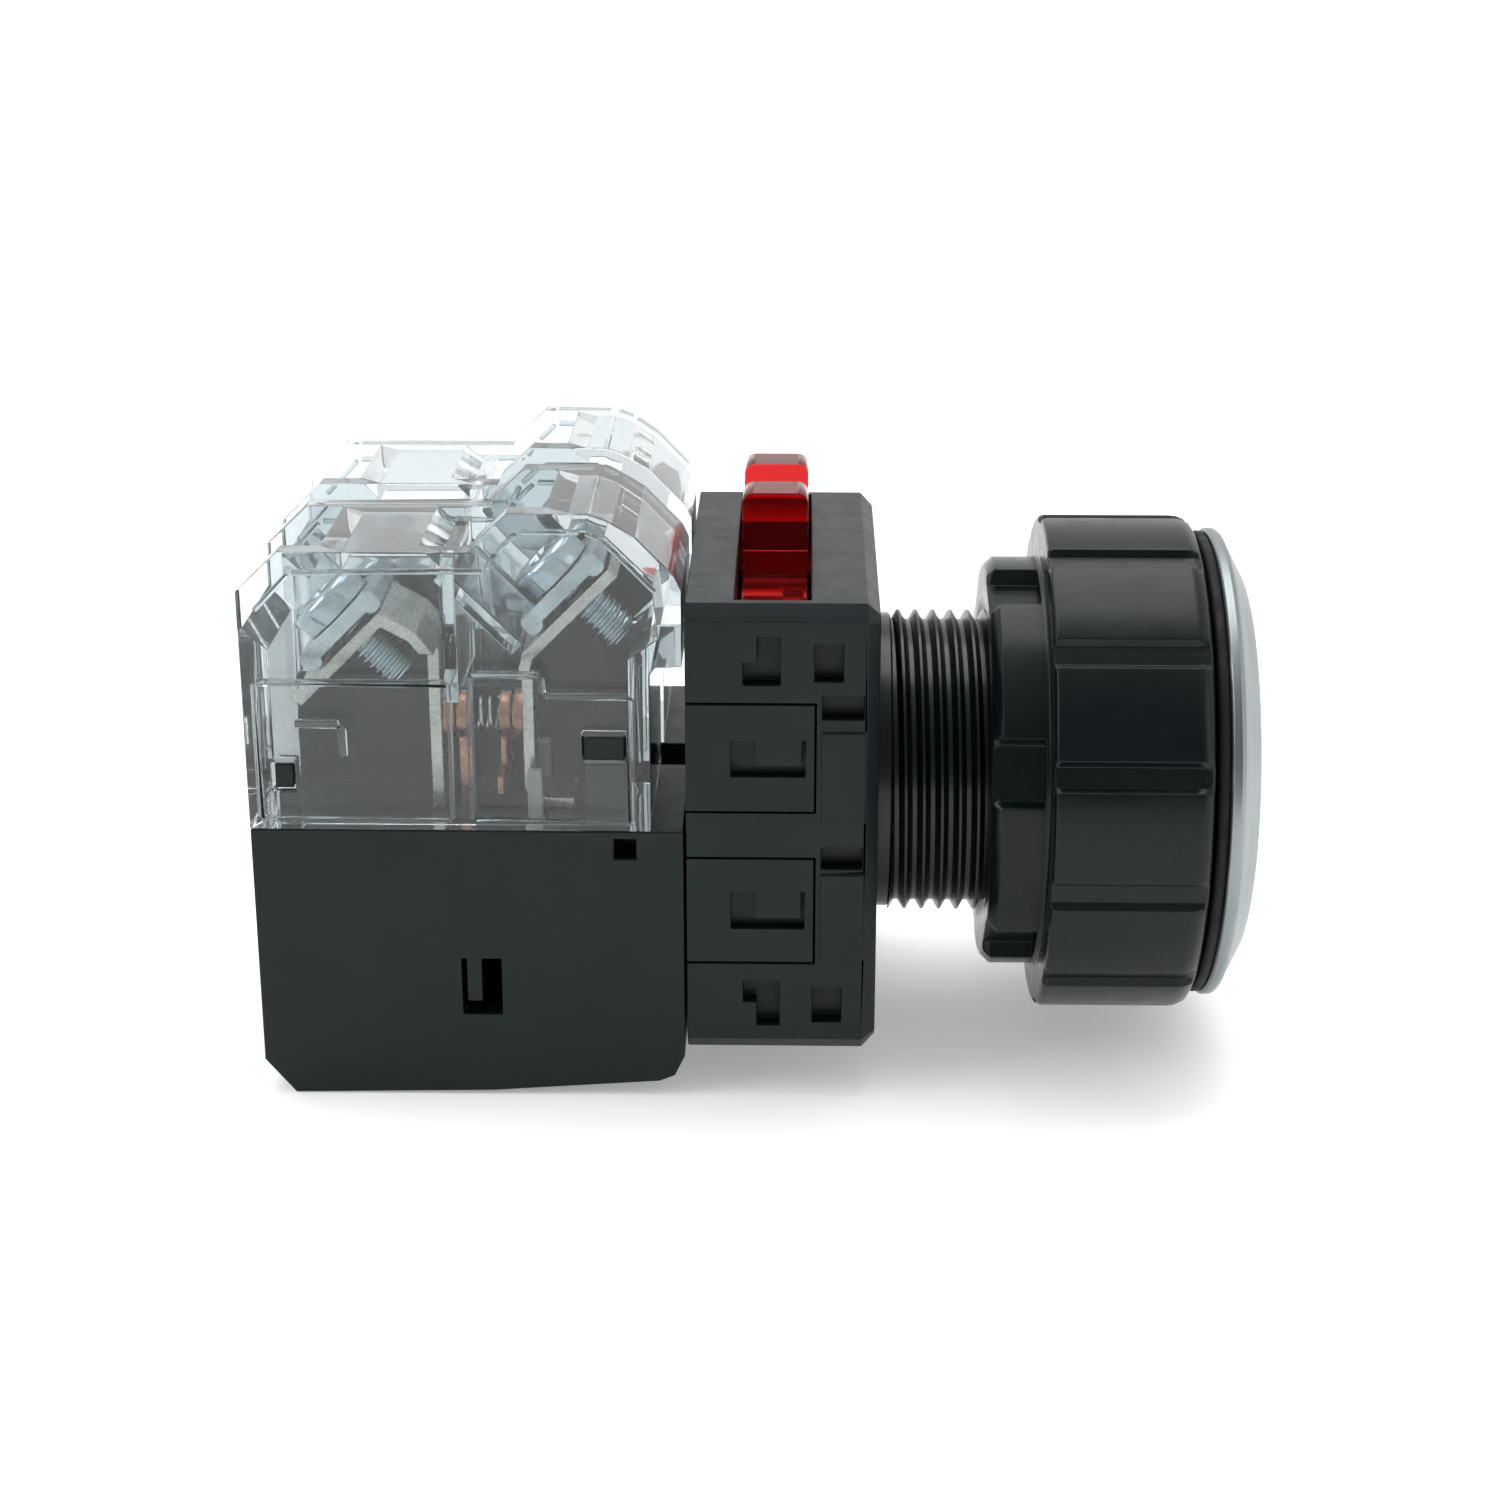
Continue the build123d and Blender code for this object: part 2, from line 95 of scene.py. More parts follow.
# %% Camera
CAMERA_AT = Vector((-31.379, -214.845, 78.686)) * MM
LOOK_BACK = Vector((0.0186807, -0.9397684, 0.34130102)).normalized()
FOCAL_SHARE = 2788.5 / 1500

camera_data = bpy.data.cameras.new("view_camera")
camera_data.sensor_width = 36.0
camera_data.lens = FOCAL_SHARE * camera_data.sensor_width
camera_data.clip_start = 0.01
camera = bpy.data.objects.new("view_camera", camera_data)
side = Vector((0, 0, 1)).cross(LOOK_BACK).normalized()
upward = LOOK_BACK.cross(side)
turn = Matrix((side, upward, LOOK_BACK)).transposed().to_4x4()
camera.matrix_world = Matrix.Translation(CAMERA_AT) @ turn
bpy.context.scene.collection.objects.link(camera)
bpy.context.scene.camera = camera
print("lens", round(camera_data.lens, 1), "mm")

# %% [markdown]
# ## The room
# Black plastic shows its shape only by what it reflects, and clear plastic only by what it bends.
# A room that is white all round makes both look flat, so this one is white behind and above the
# switch and falls off to grey on the viewer's side. Seen directly, or through the clear covers, the
# room stays white, as a paper sweep does.

# %% Room light
ROOM_WHITE = 1.0
ROOM_GREY = 0.28
GREY_BELOW = -0.75
WHITE_ABOVE = 0.10

world = bpy.data.worlds.new("paper_room")
bpy.context.scene.world = world
world.use_nodes = True
sky = world.node_tree
backdrop = sky.nodes["Background"]
direction = sky.nodes.new("ShaderNodeTexCoord")
split = sky.nodes.new("ShaderNodeSeparateXYZ")
fall = sky.nodes.new("ShaderNodeMapRange")
fall.inputs["From Min"].default_value = GREY_BELOW
fall.inputs["From Max"].default_value = WHITE_ABOVE
fall.inputs["To Min"].default_value = ROOM_GREY
fall.inputs["To Max"].default_value = ROOM_WHITE
ray = sky.nodes.new("ShaderNodeLightPath")
seen = sky.nodes.new("ShaderNodeMath")
seen.operation = "MAXIMUM"
blend = sky.nodes.new("ShaderNodeMix")
blend.inputs["B"].default_value = ROOM_WHITE
sky.links.new(direction.outputs["Generated"], split.inputs["Vector"])
sky.links.new(split.outputs["Y"], fall.inputs["Value"])
sky.links.new(ray.outputs["Is Camera Ray"], seen.inputs[0])
sky.links.new(ray.outputs["Is Transmission Ray"], seen.inputs[1])
sky.links.new(seen.outputs[0], blend.inputs["Factor"])
sky.links.new(fall.outputs["Result"], blend.inputs["A"])
sky.links.new(blend.outputs["Result"], backdrop.inputs["Strength"])
backdrop.inputs["Color"].default_value = (1.0, 1.0, 1.0, 1.0)
bpy.context.scene.view_settings.view_transform = "Standard"
bpy.context.scene.view_settings.look = "None"
print("room from", ROOM_GREY, "to", ROOM_WHITE)

# %% [markdown]
# ## Lamps and floor
# Three large soft panels add direction: one overhead and behind, one at the terminal end and one
# at the button end. They're weak, because the room does most of the work. The floor is plain and
# nearly white, and the switch rests on the undersides of its contact units.


# %% Lamps and floor
SWITCH_MIDDLE = Vector((-0.035, 0.0, 0.0))
FLOOR_GAP = 0.05 * MM


def soft_light(name, place, width, height, power):
    """A rectangular panel that faces the middle of the switch."""
    data = bpy.data.lights.new(name, "AREA")
    data.shape = "RECTANGLE"
    data.size = width
    data.size_y = height
    data.energy = power
    lamp = bpy.data.objects.new(name, data)
    away = (Vector(place) - SWITCH_MIDDLE).normalized()
    aim = away.to_track_quat("Z", "Y").to_matrix().to_4x4()
    lamp.matrix_world = Matrix.Translation(place) @ aim
    bpy.context.scene.collection.objects.link(lamp)


soft_light("overhead_panel", (-0.05, 0.12, 0.45), 0.45, 0.35, 1.3)
soft_light("terminal_end_panel", (-0.45, -0.12, 0.22), 0.30, 0.30, 0.7)
soft_light("button_end_panel", (0.40, -0.22, 0.16), 0.22, 0.35, 0.25)


def fresh_mesh(name, bm):
    """Turns a bmesh into an object at the origin, with smooth faces."""
    mesh = bpy.data.meshes.new(name)
    for face in bm.faces:
        face.smooth = True
    bm.to_mesh(mesh)
    bm.free()
    piece = bpy.data.objects.new(name, mesh)
    bpy.context.scene.collection.objects.link(piece)
    return piece


floor_z = cad_box[0][2] - FLOOR_GAP
bm = bmesh.new()
bmesh.ops.create_grid(bm, x_segments=1, y_segments=1, size=3.0)
bmesh.ops.translate(bm, verts=bm.verts, vec=(0, 0, floor_z))
floor = fresh_mesh("floor", bm)
print("floor at", round(floor_z / MM, 2), "mm")

# %% [markdown]
# ## Finishes
# Each finish is a small node network on the Principled shader. Object coordinates drive noise for
# three things: a slight change of colour, a change of gloss, and a fine bump for the skin of the
# mould or the grain of the metal. Object coordinates are in metres, so a noise scale of 2000 has
# features of about half a millimetre.


# %% Helpers for materials
def new_material(name):
    mat = bpy.data.materials.new(name)
    mat.use_nodes = True
    tree = mat.node_tree
    shader = tree.nodes["Principled BSDF"]
    coords = tree.nodes.new("ShaderNodeTexCoord")
    return mat, tree, shader, coords.outputs["Object"]


def noise(tree, vector, scale, detail=4.0, rough=0.55, stretch=None):
    if stretch:
        mapping = tree.nodes.new("ShaderNodeMapping")
        mapping.inputs["Scale"].default_value = stretch
        tree.links.new(vector, mapping.inputs["Vector"])
        vector = mapping.outputs["Vector"]
    node = tree.nodes.new("ShaderNodeTexNoise")
    node.inputs["Scale"].default_value = scale
    node.inputs["Detail"].default_value = detail
    node.inputs["Roughness"].default_value = rough
    tree.links.new(vector, node.inputs["Vector"])
    return node.outputs["Fac"]


def ramp(tree, value, low, high, at=(0.35, 0.65)):
    """Colour ramp between two colours or grey levels."""
    node = tree.nodes.new("ShaderNodeValToRGB")
    for element, place, colour in zip(node.color_ramp.elements, at, (low, high)):
        if not isinstance(colour, tuple):
            colour = (colour, colour, colour)
        element.position = place
        element.color = (*colour, 1.0)
    tree.links.new(value, node.inputs["Fac"])
    return node.outputs["Color"]


def bump(tree, shader, height, distance, strength=0.5, after=None):
    node = tree.nodes.new("ShaderNodeBump")
    node.inputs["Distance"].default_value = distance
    node.inputs["Strength"].default_value = strength
    tree.links.new(height, node.inputs["Height"])
    if after:
        tree.links.new(after, node.inputs["Normal"])
    tree.links.new(node.outputs["Normal"], shader.inputs["Normal"])
    return node.outputs["Normal"]


# %% [markdown]
# ### Opaque mouldings
# Moulded black plastic isn't one flat black. Its colour drifts a little, handling polishes some
# places and dulls others, and flow marks run along it. A very fine bump stands for the spark
# eroded skin of the mould.


# %% Moulded plastics
def moulded(name, dark, light, gloss, specular=0.4, grain=2600.0, depth=0.010 * MM):
    mat, tree, shader, place = new_material(name)
    drift = noise(tree, place, 140.0, 5.0)
    tree.links.new(ramp(tree, drift, dark, light), shader.inputs["Base Color"])
    handled = noise(tree, place, 420.0, 6.0, 0.65)
    tree.links.new(ramp(tree, handled, gloss[0], gloss[1]), shader.inputs["Roughness"])
    shader.inputs["Specular IOR Level"].default_value = specular
    skin = bump(tree, shader, noise(tree, place, grain, 2.0, 0.5), depth, 0.4)
    flow = noise(tree, place, 60.0, 3.0, 0.5, stretch=(1.0, 3.0, 1.0))
    bump(tree, shader, flow, 0.05 * MM, 0.2, after=skin)
    return mat


print("moulded plastic helper ready")

# %% [markdown]
# ### Metals
# Sheet and screws have streaks from rolling and plating, so their noise is stretched. The front
# ring was turned on a lathe: its fine lines run round the axis, so its noise reads only the
# distance along the axis and the distance from it.


# %% Metals
def metal(name, dark, light, gloss, grain=1500.0, stretch=None, depth=0.006 * MM):
    mat, tree, shader, place = new_material(name)
    stain = noise(tree, place, 350.0, 5.0, 0.6)
    tree.links.new(ramp(tree, stain, dark, light), shader.inputs["Base Color"])
    streak = noise(tree, place, grain, 4.0, 0.6, stretch)
    tree.links.new(ramp(tree, streak, gloss[0], gloss[1]), shader.inputs["Roughness"])
    shader.inputs["Metallic"].default_value = 1.0
    bump(tree, shader, streak, depth, 0.35)
    return mat


def turned_metal(name, dark, light, gloss):
    mat, tree, shader, place = new_material(name)
    parts = tree.nodes.new("ShaderNodeSeparateXYZ")
    tree.links.new(place, parts.inputs["Vector"])
    radius = tree.nodes.new("ShaderNodeMath")
    radius.operation = "SQRT"
    squares = tree.nodes.new("ShaderNodeMath")
    squares.operation = "MULTIPLY_ADD"
    across = tree.nodes.new("ShaderNodeMath")
    across.operation = "MULTIPLY"
    tree.links.new(parts.outputs["Z"], across.inputs[0])
    tree.links.new(parts.outputs["Z"], across.inputs[1])
    tree.links.new(parts.outputs["Y"], squares.inputs[0])
    tree.links.new(parts.outputs["Y"], squares.inputs[1])
    tree.links.new(across.outputs[0], squares.inputs[2])
    tree.links.new(squares.outputs[0], radius.inputs[0])
    lathe = tree.nodes.new("ShaderNodeCombineXYZ")
    tree.links.new(parts.outputs["X"], lathe.inputs["X"])
    tree.links.new(radius.outputs[0], lathe.inputs["Y"])
    lines = noise(tree, lathe.outputs["Vector"], 5200.0, 3.0, 0.6)
    stain = noise(tree, place, 120.0, 4.0)
    tree.links.new(ramp(tree, stain, dark, light), shader.inputs["Base Color"])
    tree.links.new(ramp(tree, lines, gloss[0], gloss[1]), shader.inputs["Roughness"])
    shader.inputs["Metallic"].default_value = 1.0
    fine = bump(tree, shader, lines, 0.004 * MM, 0.35)
    bump(tree, shader, noise(tree, place, 2400.0, 3.0), 0.004 * MM, 0.25, after=fine)
    return mat


print("metal helpers ready")

# %% [markdown]
# ### Clear and translucent plastics
# Real glass shading stops the lamps' light in a path tracer, so everything inside a clear box would
# go black. Mixing in a transparent shader for shadow rays lets the lamps through, as thin clear
# plastic does, and keeps the bright edges and reflections for the eye. A rough coat adds the pale
# veil that a moulded cover has over its clear depth.


# %% Clear and translucent plastics
CLEAR_SPECULAR = 0.12
COAT_ROUGHNESS = 0.30
COAT_IOR = 1.5


def clear_plastic(name, tint, gloss, ior, shadow_tint, wave=0.05, clear=1.0, veil=0.0):
    mat, tree, shader, place = new_material(name)
    shader.inputs["Base Color"].default_value = (*tint, 1.0)
    shader.inputs["Transmission Weight"].default_value = clear
    shader.inputs["IOR"].default_value = ior
    shader.inputs["Specular IOR Level"].default_value = CLEAR_SPECULAR
    shader.inputs["Coat Weight"].default_value = veil
    shader.inputs["Coat Roughness"].default_value = COAT_ROUGHNESS
    shader.inputs["Coat IOR"].default_value = COAT_IOR
    haze = noise(tree, place, 260.0, 6.0, 0.6)
    tree.links.new(ramp(tree, haze, gloss[0], gloss[1]), shader.inputs["Roughness"])
    bump(tree, shader, noise(tree, place, 90.0, 2.0, 0.4), 0.04 * MM, wave)
    through = tree.nodes.new("ShaderNodeBsdfTransparent")
    through.inputs["Color"].default_value = (*shadow_tint, 1.0)
    path = tree.nodes.new("ShaderNodeLightPath")
    mix = tree.nodes.new("ShaderNodeMixShader")
    out = tree.nodes["Material Output"]
    tree.links.new(path.outputs["Is Shadow Ray"], mix.inputs["Fac"])
    tree.links.new(shader.outputs["BSDF"], mix.inputs[1])
    tree.links.new(through.outputs["BSDF"], mix.inputs[2])
    tree.links.new(mix.outputs["Shader"], out.inputs["Surface"])
    return mat


floor_mat, floor_tree, floor_shader, floor_place = new_material("pale_floor")
floor_tone = ramp(floor_tree, noise(floor_tree, floor_place, 30.0), 0.94, 0.96)
floor_tree.links.new(floor_tone, floor_shader.inputs["Base Color"])
floor_shader.inputs["Roughness"].default_value = 0.8
floor_shader.inputs["Specular IOR Level"].default_value = 0.2
floor_shader.inputs["Emission Color"].default_value = (1.0, 1.0, 1.0, 1.0)
floor_shader.inputs["Emission Strength"].default_value = 0.30
floor.data.materials.append(floor_mat)
print("floor finished")

# %% [markdown]
# ### One finish per slot
# The record names a material slot for every part, so the finishes are kept in a table by slot.

# %% Table of finishes
finishes = {
    "black_barrel": moulded("black_barrel", (0.001, 0.004, 0.004), (0.003, 0.006, 0.006),
                            (0.22, 0.30), 0.40),
    "black_moulding": moulded("black_moulding", (0.002, 0.007, 0.008), (0.003, 0.009, 0.010),
                              (0.34, 0.42), 0.25),
    "black_grip": moulded("black_grip", (0.001, 0.004, 0.005), (0.002, 0.006, 0.007),
                          (0.22, 0.30), 0.26),
    "rubber_seal": moulded("rubber_seal", (0.004, 0.004, 0.004), (0.009, 0.009, 0.009),
                           (0.55, 0.75), 0.3),
    "green_cap": moulded("green_cap", (0.006, 0.17, 0.05), (0.010, 0.21, 0.065), (0.18, 0.26), 0.5),
    "natural_acetal": moulded("natural_acetal", (0.30, 0.29, 0.26), (0.38, 0.37, 0.33),
                              (0.30, 0.45), 0.45),
    "satin_aluminium": turned_metal("satin_aluminium", (0.24, 0.27, 0.28), (0.29, 0.32, 0.33),
                                    (0.30, 0.42)),
    "nickel_strip": metal("nickel_strip", (0.42, 0.41, 0.38), (0.52, 0.51, 0.47), (0.22, 0.32),
                          1800.0, (1.0, 0.2, 1.0), 0.0012 * MM),
    "zinc_screw": metal("zinc_screw", (0.34, 0.41, 0.44), (0.52, 0.60, 0.63), (0.12, 0.24),
                        depth=0.003 * MM),
    "zinc_clamp": metal("zinc_clamp", (0.34, 0.39, 0.41), (0.50, 0.56, 0.58), (0.16, 0.28),
                        1800.0, (1.0, 0.2, 1.0), 0.003 * MM),
    "copper_contact": metal("copper_contact", (0.30, 0.15, 0.10), (0.46, 0.25, 0.17), (0.20, 0.34)),
    "spring_steel": metal("spring_steel", (0.40, 0.40, 0.40), (0.58, 0.58, 0.58), (0.18, 0.30)),
    "clear_cover": clear_plastic("clear_cover", (0.72, 0.765, 0.777), (0.01, 0.04), 1.36,
                                 (0.93, 0.95, 0.96), veil=0.45),
    "red_clear": clear_plastic("red_clear", (0.60, 0.028, 0.030), (0.05, 0.12), 1.30,
                               (0.40, 0.01, 0.01), 0.12, 0.90),
}
print(len(finishes), "finishes")

# %% [markdown]
# ## How a piece is made
# Every round piece starts as a profile: points with a place along the axis and a radius, in
# millimetres, in the plane above the axis. The spin operator sweeps it round. The mesh is then
# merged at its seam, its faces are turned outward, and it is scaled to metres in place. A Bevel
# modifier rounds the corners that a mould or a lathe would round, and a Weighted Normal modifier
# lets the large faces lead the shading, so that they still look flat beside a rounded corner.

# %% Helpers for pieces
FULL_TURN = 2 * math.pi
QUARTER_TURN = math.pi / 2
ALONG_X = (1, 0, 0)
MERGE_MM = 0.002


def all_parts(bm):
    """Every corner, edge and face of a mesh, as one list for an operator."""
    return bm.verts[:] + bm.edges[:] + bm.faces[:]


def open_edges(bm):
    return [e for e in bm.edges if e.is_boundary]


def add_mesh_of(bm, extra):
    """Adds a second bmesh to the first one and frees it."""
    mesh = bpy.data.meshes.new("extra")
    extra.to_mesh(mesh)
    extra.free()
    bm.from_mesh(mesh)
    bpy.data.meshes.remove(mesh)


def sharpen(piece, degrees):
    """Keeps edges steeper than the angle sharp in the shading."""
    piece.data.set_sharp_from_angle(angle=math.radians(degrees))


def add_profile(bm, points, closed=True):
    """Edges through (along, radius) points, in the X-Z plane."""
    verts = [bm.verts.new((x, 0, r)) for x, r in points]
    edges = [bm.edges.new(pair) for pair in zip(verts, verts[1:])]
    if closed:
        edges.append(bm.edges.new((verts[-1], verts[0])))
    return verts + edges


def spin_ring(bm, points, steps, start=0.0, closed=True):
    """Sweeps a profile once round the X axis; start turns the first step, in radians."""
    shape = add_profile(bm, points, closed)
    profile_verts = [item for item in shape if isinstance(item, bmesh.types.BMVert)]
    bmesh.ops.rotate(bm, verts=profile_verts, cent=(0, 0, 0), matrix=Matrix.Rotation(start, 3, "X"))
    bmesh.ops.spin(bm, geom=shape, cent=(0, 0, 0), axis=ALONG_X, angle=FULL_TURN, steps=steps,
                   use_merge=True)


def soften(piece, width, limit=30.0, segments=2):
    """Rounds the corners of a piece; width in millimetres, limit in degrees."""
    bevel = piece.modifiers.new("soft_corners", "BEVEL")
    bevel.width = width * MM
    bevel.segments = segments
    bevel.limit_method = "ANGLE"
    bevel.angle_limit = math.radians(limit)
    bevel.use_clamp_overlap = False
    weigh = piece.modifiers.new("flat_faces_lead", "WEIGHTED_NORMAL")
    weigh.mode = "FACE_AREA"
    weigh.weight = 80


def finish_piece(name, bm, stands_for, scale=MM):
    """Closes the mesh, turns its faces outward, gives it its finish and body, and hides the CAD
    node it stands for.
    """
    bmesh.ops.remove_doubles(bm, verts=bm.verts, dist=MERGE_MM * MM / scale)
    bmesh.ops.recalc_face_normals(bm, faces=bm.faces)
    bmesh.ops.scale(bm, verts=bm.verts, vec=(scale, scale, scale))
    piece = fresh_mesh(name, bm)
    piece.data.materials.append(finishes[slot_of[stands_for]])
    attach(piece, body_of[stands_for])
    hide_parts(stands_for)
    return piece


print("piece helpers ready")

# %% [markdown]
# ## The front ring and its seal
# The satin ring is a shallow cone with a flat lip round the button. It was turned from aluminium,
# so it is one spun profile with small breaks at its edges. The rubber seal behind it is a plain
# flat ring that bulges a little where it is squeezed.

# %% Front ring and seal
bezel_low, bezel_high = box_mm("bezel_ring")
bezel_r = bezel_high.z
lip_x = bezel_high.x
bore_r = 10.7
lip_r = bezel_r - 3.4
flange_r = 17.86
bezel_profile = [
    (bezel_low.x, flange_r),
    (bezel_low.x, bezel_r - 0.2),
    (bezel_low.x + 0.2, bezel_r),
    (1.70, bezel_r),
    (2.00, bezel_r - 0.22),
    (2.25, bezel_r - 0.75),
    (3.42, lip_r + 0.42),
    (3.60, lip_r + 0.12),
    (lip_x, lip_r - 0.2),
    (lip_x, bore_r + 0.9),
    (lip_x - 0.06, bore_r + 0.7),
    (lip_x - 0.45, bore_r),
    (2.22, bore_r),
    (2.22, flange_r),
]
bm = bmesh.new()
spin_ring(bm, bezel_profile, 192)
bezel = finish_piece("front_ring", bm, "bezel_ring")
soften(bezel, 0.06, limit=14.0)

seal_low, seal_high = box_mm("panel_gasket")
seal_r = seal_high.z
barrel_r = 12.25
seal_profile = [
    (seal_low.x, barrel_r + 0.1),
    (seal_low.x, seal_r - 0.25),
    (seal_low.x + 0.12, seal_r - 0.06),
    (seal_low.x + 0.45, seal_r),
    (seal_high.x - 0.12, seal_r - 0.06),
    (seal_high.x, seal_r - 0.25),
    (seal_high.x, barrel_r + 0.1),
]
bm = bmesh.new()
spin_ring(bm, seal_profile, 160)
finish_piece("seal_ring", bm, "panel_gasket")
print("front ring", round(2 * bezel_r, 1), "mm across, seal", round(2 * seal_r, 1), "mm")

# %% [markdown]
# ## The push face
# The cap's face is dished by a third of a millimetre, so that a finger finds its middle. Its rim is
# rolled over. The face is a spun profile with a few points along the dish.

# %% Push face
cap_low, cap_high = box_mm("button_cap")
cap_r = cap_high.z
dish = 0.35
cap_profile = [(cap_high.x - dish, 0.0)]
for share in (0.25, 0.5, 0.7, 0.82):
    cap_profile.append((cap_high.x - dish * (1 - share ** 3), share * cap_r))
cap_profile += [
    (cap_high.x, cap_r - 1.15),
    (cap_high.x - 0.06, cap_r - 0.62),
    (cap_high.x - 0.3, cap_r - 0.2),
    (cap_high.x - 0.75, cap_r),
    (cap_low.x, cap_r),
    (cap_low.x, cap_r - 1.5),
    (1.7, cap_r - 1.5),
    (1.7, 0.0),
]
bm = bmesh.new()
spin_ring(bm, cap_profile, 128, closed=False)
sharpen(finish_piece("push_face", bm, "button_cap"), 50)
print("push face", round(2 * cap_r, 1), "mm across")

# %% [markdown]
# ## Screw threads
# A thread is one tooth that climbs by its pitch as it goes round. The spin operator does this with
# dvec, a small step along the axis for each step round it. The last point of one turn then meets
# the first point of the next, and merging them makes one skin. Two bisect cuts trim the ends
# square, and the outer skin is joined to a plain inner wall, so the thread is a closed sleeve.


# %% Thread helpers
RIM_SLACK = 1e-3


def add_thread(bm, x0, x1, crest_r, root_r, pitch, steps):
    """A helical skin round the X axis, cut square at both ends. Returns its two rims."""
    start = x0 - pitch
    tooth = [(0.0, root_r), (0.12, root_r), (0.43, crest_r),
             (0.57, crest_r), (0.88, root_r), (1.0, root_r)]
    shape = add_profile(bm, [(start + share * pitch, r) for share, r in tooth], closed=False)
    turns = math.ceil((x1 - x0) / pitch) + 2
    bmesh.ops.spin(bm, geom=shape, cent=(0, 0, 0), axis=ALONG_X, angle=turns * FULL_TURN,
                   steps=turns * steps, dvec=(pitch / steps, 0, 0))
    bmesh.ops.remove_doubles(bm, verts=bm.verts, dist=0.004)
    for x, facing in ((x0, -1), (x1, 1)):
        bmesh.ops.bisect_plane(bm, geom=all_parts(bm), dist=1e-5,
                               plane_co=(x, 0, 0), plane_no=(facing, 0, 0), clear_outer=True)
    return [[e for e in open_edges(bm) if abs(e.verts[0].co.x - x) < RIM_SLACK] for x in (x0, x1)]


def add_sleeve(bm, x0, x1, crest_r, root_r, pitch, wall_r, steps):
    """A threaded tube with a plain inner wall."""
    rims = add_thread(bm, x0, x1, crest_r, root_r, pitch, steps)
    for rim, x in zip(rims, (x0, x1)):
        upright = Matrix.Translation((x, 0, 0)) @ Matrix.Rotation(QUARTER_TURN, 4, "Y")
        bmesh.ops.create_circle(bm, segments=steps, radius=wall_r, matrix=upright)
        inner = [e for e in bm.edges if e.is_wire and abs(e.verts[0].co.x - x) < RIM_SLACK]
        bmesh.ops.bridge_loops(bm, edges=rim + inner)
    bmesh.ops.bridge_loops(bm, edges=open_edges(bm))


print("thread helpers ready")

# %% [markdown]
# ## The barrel
# The barrel is a moulded thread of 18 turns to the inch with a flat key way underneath. Behind the
# thread is the plain neck with the groove for the bayonet lugs. The thread is a sleeve on a spun
# core. The key way and the three entry slots are pressed in afterwards: every corner of the mesh
# that lies in their way is moved to their floor.

# %% Barrel
body_low, body_high = box_mm("operator_body")
THREAD_PITCH = 1.411
thread_end_x = -24.3
root_r = barrel_r - 0.75
neck_r = 12.0
flange_x = 0.9
groove = (-33.1, -31.3)
groove_r = 11.0
entry_half = 1.9
entry_angles = [math.radians(43 + 120 * k) for k in range(3)]
KEY_WAY_HALF = 1.6
KEY_WAY_Z = -11.45
KEY_WAY_START = -0.9

core_profile = [
    (flange_x - 0.01, root_r - 0.05),
    (flange_x - 0.01, flange_r - 0.11),
    (body_high.x, flange_r - 0.11),
    (body_high.x, bore_r - 0.1),
    (-22.0, bore_r - 0.1),
    (-22.0, 4.35),
    (-24.0, 4.35),
    (-24.0, 9.4),
    (body_low.x, 9.4),
    (body_low.x, neck_r - 0.25),
    (body_low.x + 0.25, neck_r),
    (groove[0], neck_r),
    (groove[0], groove_r),
    (groove[1], groove_r),
    (groove[1], neck_r),
    (thread_end_x - 0.15, neck_r),
    (thread_end_x, neck_r - 0.15),
    (thread_end_x, root_r - 0.05),
]
bm = bmesh.new()
spin_ring(bm, core_profile, 180)
for angle in entry_angles:
    to_top = Matrix.Rotation(-angle, 3, "X")
    for vert in bm.verts:
        local = to_top @ vert.co
        if local.x < groove[0] + 0.05 and abs(local.y) < entry_half and local.z > groove_r:
            local.z = groove_r
            vert.co = to_top.inverted() @ local
sleeve = bmesh.new()
add_sleeve(sleeve, thread_end_x, flange_x - 0.02, barrel_r, root_r, THREAD_PITCH, root_r - 0.3, 120)
for vert in sleeve.verts:
    in_way = abs(vert.co.y) < KEY_WAY_HALF and vert.co.x < KEY_WAY_START
    if in_way and vert.co.z < KEY_WAY_Z:
        vert.co.z = KEY_WAY_Z
add_mesh_of(bm, sleeve)
barrel = finish_piece("threaded_barrel", bm, "operator_body")
sharpen(barrel, 28)
print("barrel", len(barrel.data.polygons), "faces")

# %% [markdown]
# ## The fixing nut
# The nut has a wide collar with 13 narrow grip grooves and a smaller boss with six notches for a
# wrench. Its mesh is spun in 312 steps, 24 for each groove, and the first step is turned to a
# groove. The grooves and notches are then pressed in. A groove is five steps wide, so its walls
# come out steep and its floor flat.

# %% Fixing nut
nut_low, nut_high = box_mm("ring_nut")
collar_r = 20.0
boss_r = 16.6
collar_x = -12.4
GRIP_GROOVES = 13
WRENCH_NOTCHES = 6
NUT_STEPS = 24 * GRIP_GROOVES
groove_depth = 0.55
groove_half = math.radians(360 / NUT_STEPS * 2.4)
notch_floor = 15.2
notch_half = 2.6
first_groove = math.radians(16.2)


def from_nearest(angle, count):
    """Angle from the nearest of several evenly spaced marks."""
    half = math.pi / count
    return (angle + half) % (FULL_TURN / count) - half


